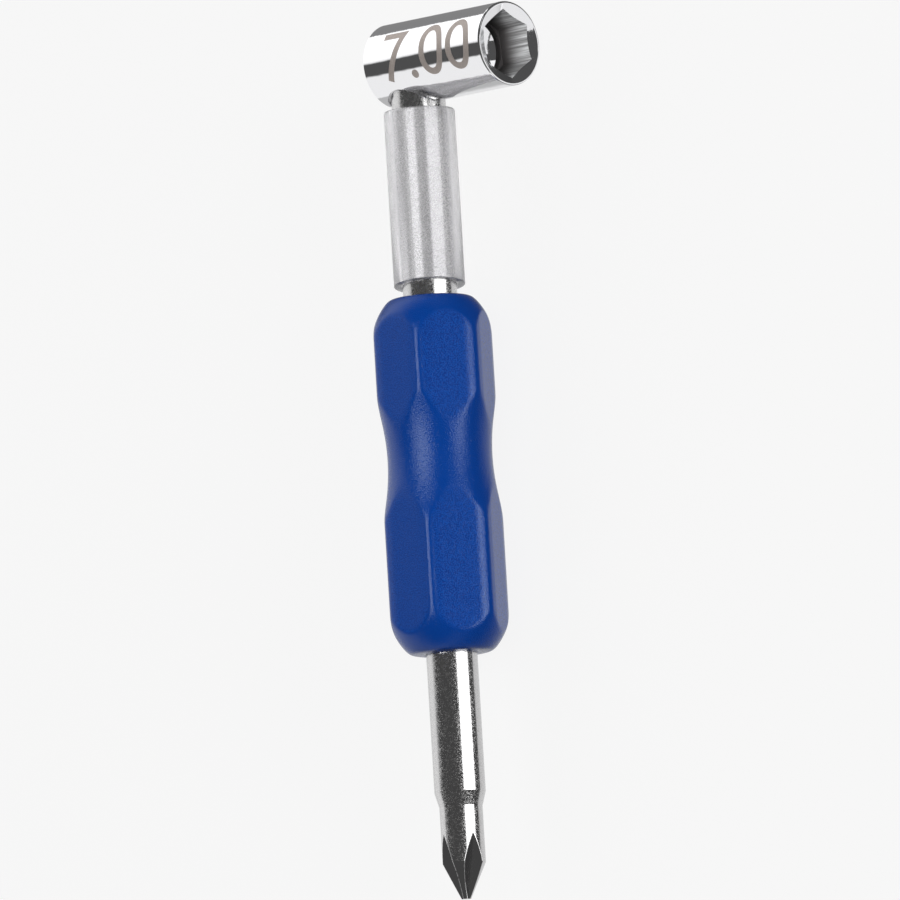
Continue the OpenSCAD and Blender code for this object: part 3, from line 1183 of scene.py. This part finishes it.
# %% Turn the sleeve
SLEEVE_GAP = 0.12 * MM
SLEEVE_ROLL = 0.35 * MM
SLEEVE_EDGE = 0.06 * MM
ROLL_STEPS = 8
EDGE_STEPS = 3
SLEEVE_COLUMNS = 160
CUT_SLOPE = math.tan(math.radians(6.5))
CUT_TURN = math.radians(45)
sleeve_in_r = SHAFT_R + SLEEVE_GAP
sleeve_turn = angles(SLEEVE_COLUMNS)
bottom = sleeve_low[Y] + SLEEVE_R * CUT_SLOPE
top = sleeve_high[Y]


def slanted(radius, place):
    """A ring of the sleeve. At the low end, the slant of the cut raises one side of it."""
    rise = radius * CUT_SLOPE * np.cos(sleeve_turn - CUT_TURN)
    return round_shaft(radius, place + (rise if place < (bottom + top) / 2 else 0), sleeve_turn)


outline = [(sleeve_in_r + SLEEVE_EDGE, bottom)]
outline += arc((SLEEVE_R - SLEEVE_EDGE, bottom + SLEEVE_EDGE), SLEEVE_EDGE, -90, 0, EDGE_STEPS)
outline += arc((SLEEVE_R - SLEEVE_ROLL, top - SLEEVE_ROLL), SLEEVE_ROLL, 0, 90, ROLL_STEPS)
outline += arc((sleeve_in_r + SLEEVE_EDGE, top - SLEEVE_EDGE), SLEEVE_EDGE, 90, 180, EDGE_STEPS)
outline += [(sleeve_in_r, bottom + SLEEVE_EDGE)]
sleeve_shell = Shell()
sleeve_rings = sleeve_shell.loft([slanted(r, y) for r, y in outline])
sleeve_shell.join(sleeve_rings[-1], sleeve_rings[0])
sleeve = sleeve_shell.build("clear_turning_sleeve", [SLEEVE_CLEAR])

# %% [markdown]
# The screwdriver blade
#
# The blade is a turned rod with a neck and a cone point, into which four flutes are ground by a
# wheel with a V-shaped rim. A point of the rod survives where it lies outside the wheel, so the
# radius at each height and angle is found by halving the distance to the wheel's surface until
# it is close enough. The four flutes are one formula, turned in steps of a right angle.

# %% Set the blade's sizes
SHOULDER_LEN = 1.7 * MM
NECK_R = 2.525 * MM
NECK_LEN = 6.6 * MM
POINT_LEN = 4.2 * MM
TIP_R = 0.55 * MM
WHEEL_R = 14.0 * MM
WHEEL_HALF_ANGLE = math.radians(46)
FLUTE_CORE = 0.4 * MM
FLUTE_TURN = math.radians(15)
BLADE_COLUMNS = 384
POINT_ROWS = 160
POINT_ZONE = 8.6 * MM
HALVINGS = 40
FLUTE_EDGE = 0.2 * MM

tip = blade_low[Y]
point_top = tip + POINT_LEN
neck_top = point_top + NECK_LEN
shoulder_top = neck_top + SHOULDER_LEN
print(f"blade: {(blade_high[Y] - tip) / MM:.1f} mm from its tip to its end in the handle")

# %% Grind the flutes
blade_turn = angles(BLADE_COLUMNS)
from_flute = np.abs(np.mod(blade_turn - FLUTE_TURN + math.pi / 4, math.pi / 2) - math.pi / 4)


def depth_in_wheel(radius, rise):
    """How far inside the grinding wheel a point at this radius lies, or negative outside it."""
    rim = WHEEL_R - radius * np.sin(from_flute) / math.tan(WHEEL_HALF_ANGLE)
    surface = FLUTE_CORE + WHEEL_R - np.sqrt(np.maximum(rim**2 - rise**2, 0))
    return radius * np.cos(from_flute) - surface


def ground_radius(place):
    """Radius all round the blade at one place along it, and where a flute sets it."""
    full = np.full(BLADE_COLUMNS, np.interp(place, (tip, point_top), (TIP_R, NECK_R)))
    low, high = np.zeros(BLADE_COLUMNS), np.full(BLADE_COLUMNS, 2 * BLADE_R)
    for _ in range(HALVINGS):
        middle = (low + high) / 2
        inside = depth_in_wheel(middle, place - tip) > 0
        high = np.where(inside, middle, high)
        low = np.where(inside, low, middle)
    closeness = np.maximum(FLUTE_EDGE - np.abs(low - full), 0)
    return np.minimum(low, full) - closeness**2 / (4 * FLUTE_EDGE), low < full


point_places = tip + POINT_ZONE * np.linspace(0, 1, POINT_ROWS + 1)
print(f"blade: {len(point_places)} rings where the flutes reach")

# %% Build the blade
EDGE_BREAK = 0.03 * MM
BLADE_INSIDE_CHAMFER = 0.4 * MM


def broken_edge(radius, place, slope_below, slope_above):
    """Four points (radius, place) that break a turned edge, two along the slope on each side."""
    below = [(radius - slope_below * k * EDGE_BREAK, place - k * EDGE_BREAK) for k in (2, 1)]
    above = [(radius + slope_above * k * EDGE_BREAK, place + k * EDGE_BREAK) for k in (1, 2)]
    return below + above


shoulder_slope = (BLADE_R - NECK_R) / SHOULDER_LEN
upper_outline = broken_edge(NECK_R, neck_top, 0, shoulder_slope)
upper_outline += broken_edge(BLADE_R, shoulder_top, shoulder_slope, 0)
upper_outline.append((BLADE_R, blade_high[Y] - BLADE_INSIDE_CHAMFER))
upper_outline.append((BLADE_R - BLADE_INSIDE_CHAMFER, blade_high[Y]))
blade_shell = Shell()
blade_rings = []
ground = []
for place in point_places:
    radius, cut = ground_radius(place)
    blade_rings.append(round_shaft(radius, place, blade_turn))
    ground.extend((cut | (place < point_top)).astype(float))
for radius, place in upper_outline:
    blade_rings.append(round_shaft(radius, place, blade_turn))
    ground.extend([0.0] * BLADE_COLUMNS)
blade_ends = blade_shell.loft(blade_rings)
blade_shell.cap(blade_ends[0], (AXIS_X, tip, AXIS_Z))
blade_shell.cap(blade_ends[-1], (AXIS_X, blade_high[Y], AXIS_Z))
ground.extend([1.0, 0.0])
blade = blade_shell.build("ground_screwdriver_blade", [BLADE_METAL], sharp_angle=40)
mask = blade.data.attributes.new("ground", "FLOAT", "POINT")
mask.data.foreach_set("value", ground)

# %% [markdown]
# Putting the pieces on the frame
#
# The shaft's imported solid already has the right shape, so it stays and only gets its finish. The
# other pieces stand in for their solids and ride on the same bodies.
# Then each lamp that is meant for some of the pieces only is linked to those.

# %% Ride and replace
def stand_for(piece, node, body):
    """Lets a piece take a solid's place on its body."""
    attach(piece, body)
    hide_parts(node)


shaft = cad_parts["socket_shaft"]
shaft.data.materials.clear()
shaft.data.materials.append(NICKEL)
stand_for(head, "socket_head", "wrench")
stand_for(handle, "handle", "wrench")
stand_for(blade, "screwdriver_blade", "wrench")
stand_for(sleeve, "clear_sleeve", "sleeve")
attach(size_mark, "wrench")

# %% Link the lamps to their pieces
LIT_BY = {
    (shaft, blade): ("rod_panel",),
    (sleeve,): ("sleeve_panel", "sleeve_strip", "sleeve_lamp"),
    (handle,): ("handle_panel", "handle_strip"),
    (head,): ("head_panel", "drill_panel_high", "drill_panel_low", "socket_lamp"),
}
for pieces, names in LIT_BY.items():
    for name in names:
        lit = bpy.data.collections.new("lit_by_" + name)
        for piece in pieces:
            lit.objects.link(piece)
        lamps[name].light_linking.receiver_collection = lit
print("linked lamps:", sum(len(names) for names in LIT_BY.values()))

# %% Set the colour view
bpy.context.scene.view_settings.view_transform = "Standard"
